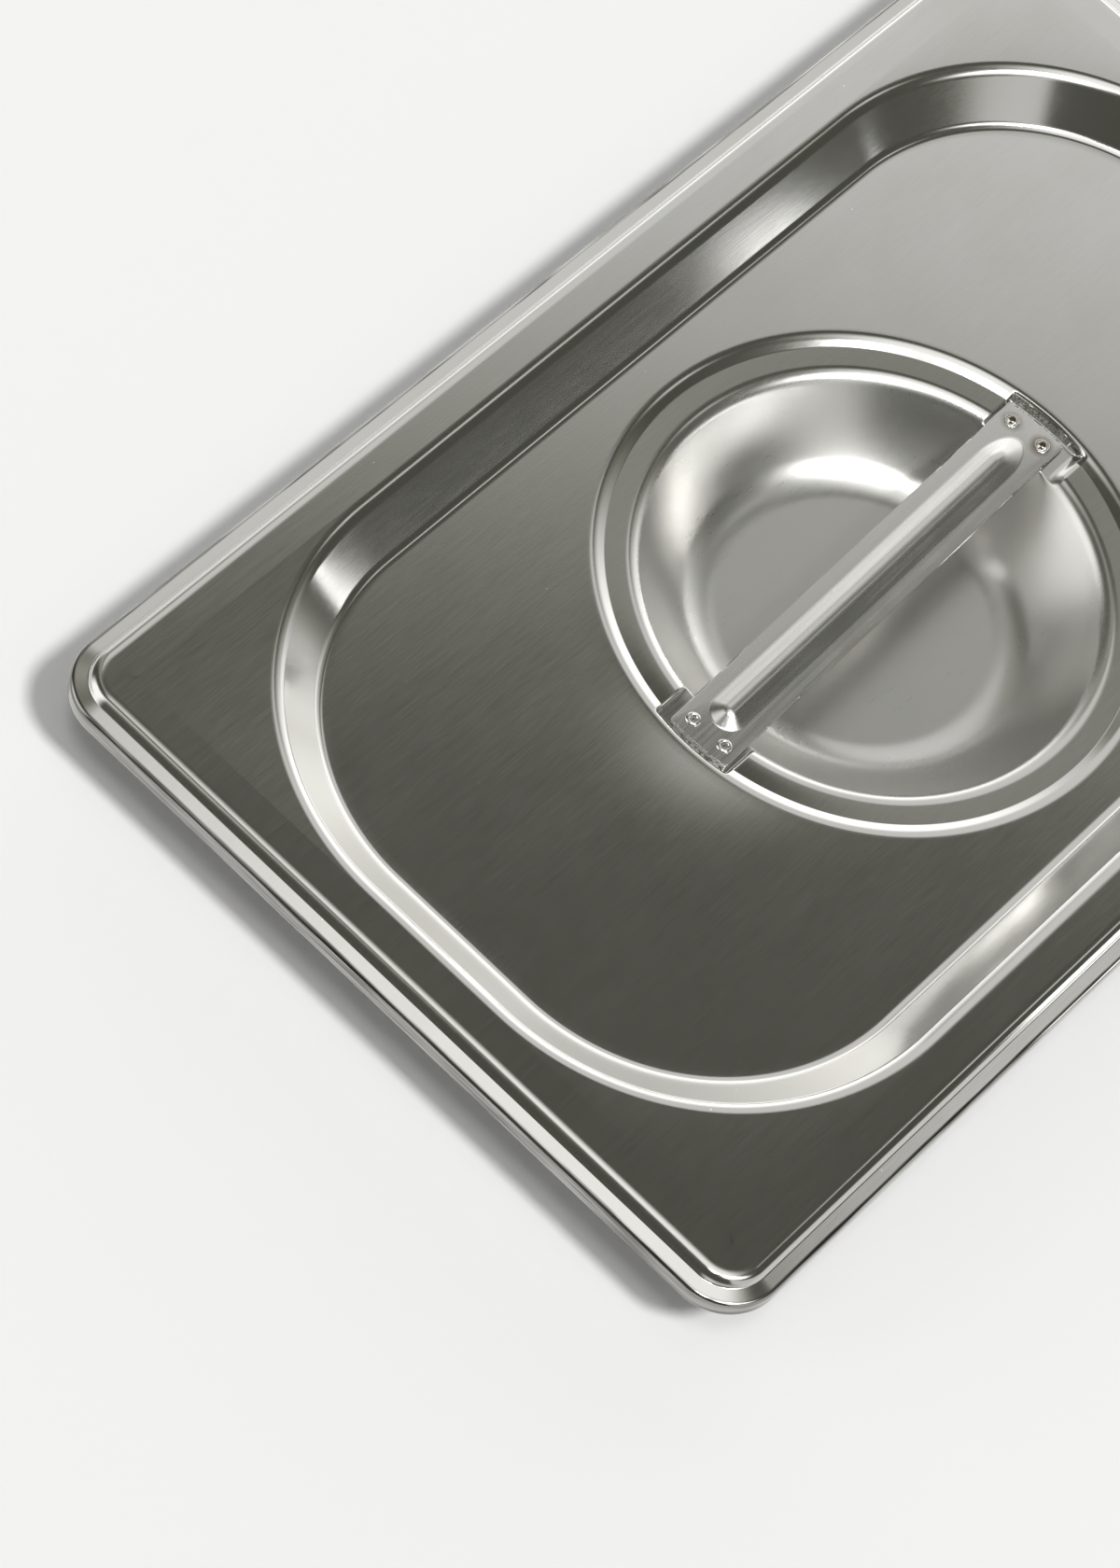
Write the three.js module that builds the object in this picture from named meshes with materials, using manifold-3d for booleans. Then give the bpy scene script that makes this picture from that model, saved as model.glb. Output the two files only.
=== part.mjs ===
// Lid of a quarter-size steam-table pan: one pressed stainless sheet with a turned-down rim, a recessed
// panel and a finger bowl, and a ribbed strap handle that lies across the bowl on two pressed seats,
// held by two plug welds at each end. Millimetres, +Z up, X along the lid. The origin is under the
// centre of the bowl's flat floor, on which the lid stands.
import * as THREE from 'three';
import { mergeVertices } from 'three/addons/utils/BufferGeometryUtils.js';
import Module from 'manifold-3d';

const wasm = await Module();
wasm.setup();

// Sheet and outline
const LENGTH = 263;
const WIDTH = 162;
const SHEET = 0.7;
const CORNER_RADIUS = 11;

// Rim, from the cut edge inward: upright skirt, sloping ledge, step up to the flange
const SKIRT_HEIGHT = 2.6;
const SKIRT_BEND = 0.9;
const LEDGE_WIDTH = 2.2;
const LEDGE_SLOPE = 12;
const RIM_STEP_RUN = 2.5;
const RIM_STEP_HEIGHT = 1.6;
const RIM_STEP_CREASE = 0.5;
const RIM_STEP_BEND = 1.9;
const FLANGE_WIDTH = 6;

// Recess that carries the flat panel
const RECESS_RUN = 10.7;
const RECESS_DEPTH = 7.7;
const RECESS_BEND = 4;
const RECESS_FILLET = 2.6;
const RECESS_END_FLAT = 30.6;

// Ring around the finger bowl, and the bowl
const PANEL_MARGIN = 6.3;
const RING_RUN = 3.2;
const RING_DEPTH = 1;
const RING_BEND = 4.4;
const RING_CREASE = 0.4;
const ANNULUS_WIDTH = 3.8;
const BOWL_DEPTH = 14;
const BOWL_BEND = 4;
const BOWL_TOP_SLOPE = 54;
const BOWL_LOW_SLOPE = 38;
const BOWL_BLEND = 12.4;

// Pressed seats under the handle's ends
const SEAT_SIDE_GAP = 2.4;
const SEAT_DEPTH = 1.2;
const SEAT_REACH = 1.3;
const SEAT_WALL_RUN = 0.5;
const SEAT_SIDE_RUN = 0.8;

// Strap handle and its welds
const HANDLE_WIDTH = 13.2;
const HANDLE_SHEET = 1;
const HANDLE_END_GAP = 0.8;
const HANDLE_SKEW = 1.8;
const HANDLE_SHIFT = 0.5;
const RIB_SIDE_MARGIN = 2.7;
const RIB_END_MARGIN = 5.4;
const RIB_HEIGHT = 1.8;
const RIB_ROUNDNESS = 0.7;
const RIB_CREST_SHARE = 0.78;
const WELD_DIAMETER = 2.4;
const WELD_CLEARANCE = 0.3;
const WELD_CROWN = 0.35;
const WELD_END_MARGIN = 3.5;
const WELD_SIDE_MARGIN = 2.95;

// Fineness of the facets
const BEND_STEP = 21;
const BLEND_STEP = 13;
const CORNER_STEPS = 12;
const SIDE_STEPS = 2;
const SEAT_STEPS = 2;
const WELD_SIDES = 20;
const CROWN_STEPS = 3;
const END_SIDES = 144;
const TINY = 1e-6;

const rad = THREE.MathUtils.degToRad;

// Slope, in degrees, of the straight wall between two bends that together take a given run and drop
function wallSlope(run, drop, bendSum) {
  const lean = Math.atan2(bendSum - drop, run);
  return THREE.MathUtils.radToDeg(Math.asin(bendSum / Math.hypot(run, bendSum - drop)) - lean);
}

// Length of that straight wall
function wallLength(run, bendSum, slope) {
  return (run - bendSum * Math.sin(rad(slope))) / Math.cos(rad(slope));
}

// Follows the upper face of the sheet inward. Each point keeps its distance along, its height and the
// slope there, so that the lower face can be set one sheet below it, square to the slope.
class Fold {
  constructor(along, height, slope) {
    this.along = along;
    this.height = height;
    this.slope = slope;
    this.points = [];
    this.mark();
  }

  mark() {
    this.points.push({ along: this.along, height: this.height, slope: this.slope });
  }

  straight(length) {
    this.along += length * Math.cos(rad(this.slope));
    this.height -= length * Math.sin(rad(this.slope));
    this.mark();
    return this;
  }

  bend(radius, toSlope, step = BEND_STEP) {
    const from = this.slope;
    const turn = toSlope - from;
    const side = Math.sign(turn) * radius;
    const centreAlong = this.along - side * Math.sin(rad(from));
    const centreHeight = this.height - side * Math.cos(rad(from));
    const count = Math.max(1, Math.ceil(Math.abs(turn) / step));
    for (let i = 1; i <= count; i += 1) {
      this.slope = from + (turn * i) / count;
      this.along = centreAlong + side * Math.sin(rad(this.slope));
      this.height = centreHeight + side * Math.cos(rad(this.slope));
      this.mark();
    }
    return this;
  }

  // A pressed step down: bend, straight wall, opposite bend, level again
  step(run, drop, firstBend, lastBend) {
    const slope = wallSlope(run, drop, firstBend + lastBend);
    this.bend(firstBend, slope).straight(wallLength(run, firstBend + lastBend, slope));
    return this.bend(lastBend, 0);
  }
}

// Heights, worked out from the floor of the bowl up
const floorTop = SHEET;
const annulusTop = floorTop + BOWL_DEPTH;
const panelTop = annulusTop + RING_DEPTH;
const flangeTop = panelTop + RECESS_DEPTH;

// Rim profile: it is folded from a free start, then set so that its inner end meets the flange
function rimProfile() {
  const fold = new Fold(0, 0, -90);
  fold.straight(SKIRT_HEIGHT).bend(SKIRT_BEND, -LEDGE_SLOPE).straight(LEDGE_WIDTH);
  const bendSum = RIM_STEP_CREASE + RIM_STEP_BEND;
  const slope = wallSlope(RIM_STEP_RUN, RIM_STEP_HEIGHT, bendSum);
  fold.bend(RIM_STEP_CREASE, -slope).straight(wallLength(RIM_STEP_RUN, bendSum, slope));
  fold.bend(RIM_STEP_BEND, 0);
  const lift = flangeTop - fold.height;
  return fold.points.map((p) => ({ ...p, height: p.height + lift }));
}

const rim = rimProfile();
const rimRun = rim[rim.length - 1].along;
const recessStart = rimRun + FLANGE_WIDTH;
const recess = new Fold(recessStart, flangeTop, 0).step(RECESS_RUN, RECESS_DEPTH, RECESS_BEND, RECESS_FILLET).points;
const recessCorner = WIDTH / 2 - recessStart - RECESS_END_FLAT / 2;

// Radius of the bowl's hollow wall, which takes the depth that the bends above and below it leave
function hollowRadius() {
  const topCos = Math.cos(rad(BOWL_TOP_SLOPE));
  const lowCos = Math.cos(rad(BOWL_LOW_SLOPE));
  return (BOWL_DEPTH - BOWL_BEND * (1 - topCos) - BOWL_BLEND * (1 - lowCos)) / (lowCos - topCos);
}

// Ring and bowl profile, with its distance counted inward from the edge of the panel
const ringRadius = WIDTH / 2 - recessStart - RECESS_RUN - PANEL_MARGIN;
const seatRadius = ringRadius - RING_RUN + SEAT_REACH;
const seatTop = Math.fround(annulusTop - SEAT_DEPTH);
const ringFold = new Fold(0, panelTop, 0).step(RING_RUN, RING_DEPTH, RING_BEND, RING_CREASE);
ringFold.straight(ANNULUS_WIDTH).bend(BOWL_BEND, BOWL_TOP_SLOPE);
ringFold.bend(hollowRadius(), BOWL_LOW_SLOPE, BLEND_STEP).bend(BOWL_BLEND, 0, BLEND_STEP);

// Adds a point to a profile where it passes a given distance
function withPointAt(points, along) {
  const next = points.findIndex((p) => p.along > along);
  const a = points[next - 1];
  const b = points[next];
  const share = (along - a.along) / (b.along - a.along);
  const mix = (key) => a[key] + share * (b[key] - a[key]);
  return points.toSpliced(next, 0, { along, height: mix('height'), slope: mix('slope') });
}

const seatEnd = ringRadius - seatRadius;
const ring = withPointAt(withPointAt(ringFold.points, seatEnd), seatEnd - SEAT_WALL_RUN);

// Points of a rounded rectangle, counter-clockwise from the middle of its +X side
function roundedRectangle(halfLength, halfWidth, radius) {
  const quadrant = [];
  const straightY = halfWidth - radius;
  const straightX = halfLength - radius;
  for (let i = 0; i < SIDE_STEPS; i += 1) quadrant.push([halfLength, (straightY * i) / SIDE_STEPS]);
  for (let i = 0; i <= CORNER_STEPS; i += 1) {
    const angle = rad((90 * i) / CORNER_STEPS);
    quadrant.push([straightX + radius * Math.cos(angle), straightY + radius * Math.sin(angle)]);
  }
  for (let i = 1; i < SIDE_STEPS; i += 1) quadrant.push([straightX * (1 - i / SIDE_STEPS), halfWidth]);
  return mirrorQuadrant(quadrant, [0, halfWidth]);
}

// Points of a circle, with two stretches of a quadrant kept for the seat and for its side wall
const seatHalf = HANDLE_WIDTH / 2 + SEAT_SIDE_GAP;

function circle(radius) {
  const openAngle = Math.asin((seatHalf + SEAT_SIDE_RUN) / radius);
  const quadrant = [[radius, 0], [Math.sqrt(radius ** 2 - seatHalf ** 2), seatHalf]];
  const openSteps = CORNER_STEPS + 2 * SIDE_STEPS - SEAT_STEPS;
  for (let i = 0; i < openSteps; i += 1) {
    const angle = openAngle + ((Math.PI / 2 - openAngle) * i) / openSteps;
    quadrant.push([radius * Math.cos(angle), radius * Math.sin(angle)]);
  }
  return mirrorQuadrant(quadrant, [0, radius]);
}

// Carries the points from the +X axis up to (not including) the +Y axis round all four quadrants
function mirrorQuadrant(quadrant, top) {
  const inner = quadrant.slice(1);
  const upperLeft = inner.map(([x, y]) => [-x, y]).reverse();
  const lowerLeft = inner.map(([x, y]) => [-x, -y]);
  const lowerRight = inner.map(([x, y]) => [x, -y]).reverse();
  const [right] = quadrant;
  return [right, ...inner, top, ...upperLeft, [-right[0], 0], ...lowerLeft, [0, -top[1]], ...lowerRight];
}

// Closed body from a row of closed loops of equal length, with a fan over the first and the last one
function closedLoft(loops) {
  const count = loops[0].length;
  const positions = loops.flat(2);
  const index = [];
  for (let k = 0; k + 1 < loops.length; k += 1) {
    for (let i = 0; i < count; i += 1) {
      const j = (i + 1) % count;
      const [a, b, c, d] = [k * count + i, k * count + j, (k + 1) * count + j, (k + 1) * count + i];
      index.push(a, c, b, a, d, c);
    }
  }
  for (const [loop, offset, flip] of [[loops[0], 0, false], [loops.at(-1), (loops.length - 1) * count, true]]) {
    const centre = positions.length / 3;
    positions.push(...[0, 1, 2].map((axis) => loop.reduce((sum, p) => sum + p[axis], 0) / count));
    for (let i = 0; i < count; i += 1) {
      const j = (i + 1) % count;
      index.push(...(flip ? [centre, offset + j, offset + i] : [centre, offset + i, offset + j]));
    }
  }
  const geometry = new THREE.BufferGeometry();
  geometry.setAttribute('position', new THREE.Float32BufferAttribute(positions, 3));
  geometry.setIndex(index);
  return geometry;
}

// The pressed sheet: every profile point becomes one loop of the upper face and one of the lower face
function lidShell() {
  const rimLoop = (along) => roundedRectangle(LENGTH / 2 - along, WIDTH / 2 - along, CORNER_RADIUS - along);
  const recessLoop = (along) =>
    roundedRectangle(LENGTH / 2 - along, WIDTH / 2 - along, recessCorner + recessStart - along);
  const ringLoop = (along) => circle(ringRadius - along);

  const face = (depth) => {
    const loopAt = (outline, p, top) => {
      const along = p.along - depth * Math.sin(rad(p.slope));
      const height = p.height - depth * Math.cos(rad(p.slope));
      const inSeat = p.along >= seatEnd - TINY && outline === ringLoop;
      return outline(along).map(([x, y]) => {
        const underHandle = inSeat && Math.abs(y) < seatHalf + TINY;
        return [x, y, underHandle ? Math.min(height, top) : height];
      });
    };
    return [
      ...rim.map((p) => loopAt(rimLoop, p)),
      ...recess.map((p) => loopAt(recessLoop, p)),
      ...ring.map((p) => loopAt(ringLoop, p, seatTop - depth)),
    ];
  };
  return closedLoft([...face(0).reverse(), ...face(SHEET)]);
}

const endRadius = seatRadius - HANDLE_END_GAP;
const ribHalf = HANDLE_WIDTH / 2 - RIB_SIDE_MARGIN;
const ribStraight = endRadius - RIB_END_MARGIN - ribHalf;

// Section of the rib from its middle outward: a round crest, a straight flank and a bend at its foot. The
// roundness is the share that the two bends take of the largest that would fit.
const ribBends = (RIB_ROUNDNESS * (ribHalf ** 2 + RIB_HEIGHT ** 2)) / (2 * RIB_HEIGHT);
const ribCrest = RIB_CREST_SHARE * ribBends;
const ribSection = new Fold(0, RIB_HEIGHT, 0).step(ribHalf, RIB_HEIGHT, ribCrest, ribBends - ribCrest).points;

// How far the rib rises above the flat of the strap
function ribRise(x, y) {
  const beyond = Math.max(0, Math.abs(x) - ribStraight);
  const reach = Math.hypot(beyond, y);
  const next = ribSection.findIndex((p) => p.along > reach + TINY);
  if (next < 0) return 0;
  const [a, b] = [ribSection[next - 1], ribSection[next]];
  return a.height + ((b.height - a.height) * (reach - a.along)) / (b.along - a.along);
}

// The strap: a row of sections along X, each across the flat margins and over the rib, with both ends
// cut round so that they follow the wall of the seats
function handleStrap() {
  const reaches = ribSection.map((p) => p.along);
  const across = [...reaches, HANDLE_WIDTH / 2];
  const ys = [...across.slice(1).map((y) => -y).reverse(), ...across];
  const along = [...reaches.map((reach) => ribStraight + reach), endRadius];
  const xs = [...along.map((x) => -x).reverse(), ...along];
  const sections = xs.map((x) => {
    const under = ys.map((y) => [x, y, ribRise(x, y)]);
    const top = under.map(([, y, z]) => [x, y, z + HANDLE_SHEET]);
    return [...top, ...under.reverse()];
  });
  const reach = 2 * (HANDLE_SHEET + RIB_HEIGHT);
  const endCut = new THREE.CylinderGeometry(endRadius, endRadius, reach, END_SIDES).rotateX(Math.PI / 2);
  let body = toSolid(closedLoft(sections)).intersect(toSolid(endCut));
  const holeRadius = WELD_DIAMETER / 2 + WELD_CLEARANCE;
  for (const [x, y] of weldPlaces()) {
    const drill = new THREE.CylinderGeometry(holeRadius, holeRadius, 2 * HANDLE_SHEET, WELD_SIDES);
    drill.rotateX(Math.PI / 2).translate(x, y, HANDLE_SHEET / 2);
    body = body.subtract(toSolid(drill));
  }
  return fromSolid(body);
}

function weldPlaces() {
  const x = endRadius - WELD_END_MARGIN;
  const y = HANDLE_WIDTH / 2 - WELD_SIDE_MARGIN;
  return [[-x, y], [-x, -y], [x, y], [x, -y]];
}

// A plug weld: a round post on the seat that fills the strap's hole and ends in a low crown
function plugWeld() {
  const radius = WELD_DIAMETER / 2;
  const outline = [[0, 0], [radius, 0], [radius, HANDLE_SHEET]];
  for (let i = 1; i < CROWN_STEPS; i += 1) {
    const turn = rad((90 * i) / CROWN_STEPS);
    outline.push([radius * Math.cos(turn), HANDLE_SHEET + WELD_CROWN * Math.sin(turn)]);
  }
  outline.push([0, HANDLE_SHEET + WELD_CROWN]);
  const post = new THREE.LatheGeometry(outline.map(([x, y]) => new THREE.Vector2(x, y)), WELD_SIDES);
  return post.rotateX(Math.PI / 2);
}

function toSolid(geometry) {
  const bare = geometry.clone();
  bare.deleteAttribute('normal');
  bare.deleteAttribute('uv');
  const merged = mergeVertices(bare);
  const mesh = new wasm.Mesh({
    numProp: 3,
    vertProperties: new Float32Array(merged.attributes.position.array),
    triVerts: new Uint32Array(merged.index.array),
  });
  return new wasm.Manifold(mesh);
}

function fromSolid(solid) {
  const mesh = solid.getMesh();
  const geometry = new THREE.BufferGeometry();
  geometry.setAttribute('position', new THREE.Float32BufferAttribute(mesh.vertProperties, 3));
  geometry.setIndex(Array.from(mesh.triVerts));
  return geometry;
}

function namedMesh(name, geometry, color, roughness) {
  const material = new THREE.MeshStandardMaterial({ color, roughness, metalness: 1 });
  geometry.computeVertexNormals();
  const mesh = new THREE.Mesh(geometry, material);
  mesh.name = name;
  return mesh;
}

const lid = new THREE.Group();
lid.add(namedMesh('lid_shell', lidShell(), 0xb9b8b1, 0.3));

const handle = new THREE.Group();
handle.position.set(0, HANDLE_SHIFT, seatTop);
handle.rotation.z = rad(HANDLE_SKEW);
handle.add(namedMesh('handle_strap', handleStrap(), 0xc4c3bd, 0.25));
const weldNames = ['weld_near_left', 'weld_near_right', 'weld_far_left', 'weld_far_right'];
weldPlaces().forEach(([x, y], i) => {
  const weld = namedMesh(weldNames[i], plugWeld(), 0xa9a8a2, 0.4);
  weld.position.set(x, y, 0);
  handle.add(weld);
});
lid.add(handle);

export default lid;
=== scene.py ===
# %% [markdown]
# # Lid of a quarter-size steam-table pan
#
# The object is a lid: one sheet of stainless steel, pressed so that it has a turned-down rim, a level
# flange, a recessed panel and a round finger bowl, and a ribbed strap handle that four plug welds hold
# across the bowl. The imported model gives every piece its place. This lesson dresses that model: it makes
# each piece again with fine, round bends, gives it a brushed finish, and lights it as in a small studio.

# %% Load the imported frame
import math

import bpy
import numpy as np
from mathutils import Matrix, Vector


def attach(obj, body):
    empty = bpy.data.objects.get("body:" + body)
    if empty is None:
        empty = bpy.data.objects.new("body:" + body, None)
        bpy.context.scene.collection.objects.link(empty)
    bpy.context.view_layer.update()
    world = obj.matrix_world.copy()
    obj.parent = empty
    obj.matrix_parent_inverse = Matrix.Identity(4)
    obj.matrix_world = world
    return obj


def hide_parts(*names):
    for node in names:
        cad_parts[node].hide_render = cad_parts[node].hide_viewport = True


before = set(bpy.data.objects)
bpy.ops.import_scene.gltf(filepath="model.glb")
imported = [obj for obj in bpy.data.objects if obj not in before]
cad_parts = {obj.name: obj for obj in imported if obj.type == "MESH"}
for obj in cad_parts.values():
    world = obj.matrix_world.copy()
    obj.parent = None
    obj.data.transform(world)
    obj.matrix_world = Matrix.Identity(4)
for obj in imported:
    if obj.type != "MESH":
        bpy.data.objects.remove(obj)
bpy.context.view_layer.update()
print("pieces in the frame:", sorted(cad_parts))

# %% [markdown]
# ## Camera
#
# A camera is fixed by where it stands, how it is turned, and how long its lens is. All three were found by
# fitting a pinhole camera to the outlines of the rim, the recess and the ring. The fit gives two directions,
# the picture's right and its up; the third, out of the picture towards the eye, is square to both. The frame
# is taller than wide, so the lens is set against the picture's height.

# %% Place the camera
PICTURE_HEIGHT = 1680
FOCAL_PIXELS = 5923.6
SENSOR = 36.0
SIGHT_REACH = 20.0
CAMERA_PLACE = Vector((-0.53240, -0.17711, 0.83640))
PICTURE_RIGHT = Vector((0.664589, -0.717890, 0.207256))
PICTURE_UP = Vector((0.574801, 0.668407, 0.472056))

camera_data = bpy.data.cameras.new("camera")
camera_data.sensor_fit = "VERTICAL"
camera_data.sensor_height = SENSOR
camera_data.lens = FOCAL_PIXELS * SENSOR / PICTURE_HEIGHT
camera_data.clip_end = SIGHT_REACH
camera = bpy.data.objects.new("camera", camera_data)
bpy.context.collection.objects.link(camera)
towards_eye = PICTURE_RIGHT.cross(PICTURE_UP)
turned = Matrix((PICTURE_RIGHT, PICTURE_UP, towards_eye)).transposed().to_4x4()
camera.matrix_world = Matrix.Translation(CAMERA_PLACE) @ turned
bpy.context.scene.camera = camera
print("lens, mm:", round(camera_data.lens, 2))

# %% [markdown]
# ## How the sheet is folded
#
# A pressed sheet is easiest to describe as a walk along its upper face: go straight, bend by some radius
# until the sheet has a new slope, go straight again. The walk keeps three numbers for each point: how far in
# it is, how high it is, and how steep the sheet is there. A bend is a row of facets that each turn by a few
# degrees. Each straight also gets a point close to either end. These holding points keep the smooth shading
# of a bend from leaking into the flat beside it.

# %% Walk along a fold
MM = 0.001
FACET_TURN = 6.0
HOLD = 0.18


def sine(degrees):
    return math.sin(math.radians(degrees))


def cosine(degrees):
    return math.cos(math.radians(degrees))


class Fold:
    """The upper face of the sheet, followed inward, in millimetres and degrees."""

    def __init__(self, along, height, slope):
        self.along = along
        self.height = height
        self.slope = slope
        self.points = [(along, height)]

    def straight(self, length, cuts=1):
        """Goes on at the same slope."""
        start = np.array(self.points[-1])
        run = np.array((cosine(self.slope), -sine(self.slope)))
        hold = min(HOLD, length / 4)
        for reach in np.linspace(hold, length - hold, cuts + 1):
            self.points.append(tuple(start + run * reach))
        self.points.append(tuple(start + run * length))
        self.along, self.height = self.points[-1]
        return self

    def bend(self, radius, to_slope, turn=FACET_TURN):
        """Bends until the sheet has a new slope, at most turn degrees from facet to facet."""
        side = math.copysign(radius, to_slope - self.slope)
        centre_along = self.along - side * sine(self.slope)
        centre_height = self.height - side * cosine(self.slope)
        facets = max(2, math.ceil(abs(to_slope - self.slope) / turn))
        for slope in np.linspace(self.slope, to_slope, facets + 1)[1:]:
            self.points.append((centre_along + side * sine(slope), centre_height + side * cosine(slope)))
        self.along, self.height = self.points[-1]
        self.slope = to_slope
        return self

    def step_down(self, run, drop, first_bend, last_bend, cuts=1, turn=FACET_TURN):
        """From level to level: a bend, a straight wall and a bend back."""
        slope, wall = wall_between(run, drop, first_bend + last_bend)
        return self.bend(first_bend, slope, turn).straight(wall, cuts).bend(last_bend, 0.0)


def wall_between(run, drop, bends):
    """Slope and length of the straight wall between two bends that take a given run and drop."""
    slope = math.degrees(math.asin(bends / math.hypot(run, bends - drop)) - math.atan2(bends - drop, run))
    return slope, (run - bends * sine(slope)) / cosine(slope)


test_slope, test_wall = wall_between(run=10.0, drop=8.0, bends=6.0)
print("wall of a test step, degrees and mm:", round(test_slope, 2), round(test_wall, 2))

# %% [markdown]
# ## Sizes of the lid
#
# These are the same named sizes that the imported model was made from, in millimetres and degrees. The heights
# are counted from the table up: the lid stands on the flat floor of its bowl, so everything else hangs from
# that.

# %% Name the sizes
LENGTH = 263.0
WIDTH = 162.0
SHEET = 0.7
CORNER_RADIUS = 11.0
SKIRT_HEIGHT = 2.6
SKIRT_BEND = 0.9
LEDGE_WIDTH = 2.2
LEDGE_SLOPE = 12.0
RIM_STEP_RUN = 2.5
RIM_STEP_HEIGHT = 1.6
FLANGE_WIDTH = 6.0
RECESS_RUN = 10.7
RECESS_DEPTH = 7.7
RECESS_BEND = 4.0
RECESS_FILLET = 2.6
RECESS_END_FLAT = 30.6
PANEL_MARGIN = 6.3
RING_RUN = 3.2
RING_DEPTH = 1.0
RING_BEND = 4.4
RING_CREASE = 0.4
ANNULUS_WIDTH = 3.8
BOWL_DEPTH = 14.0
BOWL_BEND = 4.0
BOWL_TOP_SLOPE = 54.0
BOWL_LOW_SLOPE = 38.0
BOWL_BLEND = 12.4
HANDLE_WIDTH = 13.2

annulus_top = SHEET + BOWL_DEPTH
panel_top = annulus_top + RING_DEPTH
flange_top = panel_top + RECESS_DEPTH
print("heights of ring, panel and flange, mm:", [round(h, 2) for h in (annulus_top, panel_top, flange_top)])

# %% [markdown]
# The rim is softer than those sizes say, by about a tenth of a millimetre: the flange rolls off a little
# before its step down to the ledge, and that step is rounder. Neither would be felt, but bright metal shows
# both, and for the same reason the gentlest bends get the finest facets.

# %% Fold the rim and the recess
SHOULDER_RADIUS = 6.0
SHOULDER_SLOPE = 9.0
SOFT_STEP_BEND = 2.35
SOFT_STEP_CREASE = 0.35

shoulder_run = (SHOULDER_RADIUS - SOFT_STEP_BEND) * sine(SHOULDER_SLOPE)
shoulder_drop = (SHOULDER_RADIUS - SOFT_STEP_BEND) * (1 - cosine(SHOULDER_SLOPE))
step_bends = SOFT_STEP_CREASE + SOFT_STEP_BEND
step_slope, step_wall = wall_between(RIM_STEP_RUN, RIM_STEP_HEIGHT - shoulder_drop, step_bends)
rim_fold = Fold(0.0, 0.0, -90.0)
rim_fold.straight(SKIRT_HEIGHT, cuts=3).bend(SKIRT_BEND, -LEDGE_SLOPE).straight(LEDGE_WIDTH)
rim_fold.bend(SOFT_STEP_CREASE, -step_slope).straight(step_wall)
rim_fold.bend(SOFT_STEP_BEND, -SHOULDER_SLOPE, turn=4.0)
rim_fold.bend(SHOULDER_RADIUS, 0.0, turn=1.5).straight(FLANGE_WIDTH - shoulder_run)
rim = np.array(rim_fold.points) + (0.0, flange_top - rim_fold.height)

recess_start = rim_fold.along
recess_fold = Fold(recess_start, flange_top, 0.0)
recess_fold.step_down(RECESS_RUN, RECESS_DEPTH, RECESS_BEND, RECESS_FILLET, cuts=2)
recess = np.array(recess_fold.points)
recess_corner = WIDTH / 2 - recess_start - RECESS_END_FLAT / 2
print("recess starts", round(recess_start, 2), "mm in, corner radius", round(recess_corner, 2), "mm")

# %% [markdown]
# Inside the panel everything is round. The ring's flat leans a little towards the bowl. The bowl's wall is
# steepest just under its lip, eases off along one wide hollow and blends into the flat floor. The radius of
# the hollow follows from the depth that the other bends leave over.

# %% Fold the ring and the bowl
ANNULUS_SLOPE = 1.2

ring_radius = WIDTH / 2 - recess_start - RECESS_RUN - PANEL_MARGIN
bends_drop = BOWL_BEND * (1 - cosine(BOWL_TOP_SLOPE)) + BOWL_BLEND * (1 - cosine(BOWL_LOW_SLOPE))
bends_drop += ANNULUS_WIDTH * sine(ANNULUS_SLOPE)
hollow_radius = (BOWL_DEPTH - bends_drop) / (cosine(BOWL_LOW_SLOPE) - cosine(BOWL_TOP_SLOPE))
bowl_fold = Fold(0.0, panel_top, 0.0)
bowl_fold.step_down(RING_RUN, RING_DEPTH, RING_BEND, RING_CREASE, turn=3.0)
bowl_fold.bend(RING_CREASE, ANNULUS_SLOPE).straight(ANNULUS_WIDTH, cuts=6)
bowl_fold.bend(BOWL_BEND, BOWL_TOP_SLOPE, turn=4.0).bend(hollow_radius, BOWL_LOW_SLOPE, turn=1.2)
bowl_fold.bend(BOWL_BLEND, 0.0, turn=2.5)
bowl = np.array(bowl_fold.points)
floor_radius = ring_radius - bowl_fold.along
print("ring radius", round(ring_radius, 2), "mm, floor radius", round(floor_radius, 2), "mm")

# %% [markdown]
# ## From the fold to a surface
#
# Every point of the fold becomes one closed loop around the lid: a rounded rectangle on the rim and the
# recess, a circle on the ring and the bowl. All loops have the same number of points, so neighbours are
# joined by plain quads. The flat panel lies between the last rectangle and the first circle, and loops that
# blend from one to the other fill it.

# %% Draw the loops
END_POINTS = 30
ARC_POINTS = 40
SIDE_POINTS = 12
# Distances from the long axis where the circles have points, closest where the seats get their side walls
SEAT_COLUMNS = np.concatenate((np.linspace(0, 5, 6), np.linspace(5.5, 9.9, 23), (11.0,)))
# Where the panel's loops lie, from recess to ring, and the floor's, as shares of its radius
PANEL_SHARES = (0.03, 0.2, 0.4, 0.55, 0.68, 0.78, 0.86, 0.92, 0.965, 0.99)
FLOOR_SHARES = (0.98, 0.7, 0.4, 0.12)


def whole_loop(quadrant):
    """Mirrors the points from the +X axis to the +Y axis, both ends included, round all four quadrants."""
    x, y = np.array(quadrant).T
    quarter = np.stack((x, y), 1)
    left = np.stack((-x, y), 1)[::-1][1:]
    lower_left = np.stack((-x, -y), 1)[1:]
    lower_right = np.stack((x, -y), 1)[::-1][1:-1]
    return np.concatenate((quarter, left, lower_left, lower_right))


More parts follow.
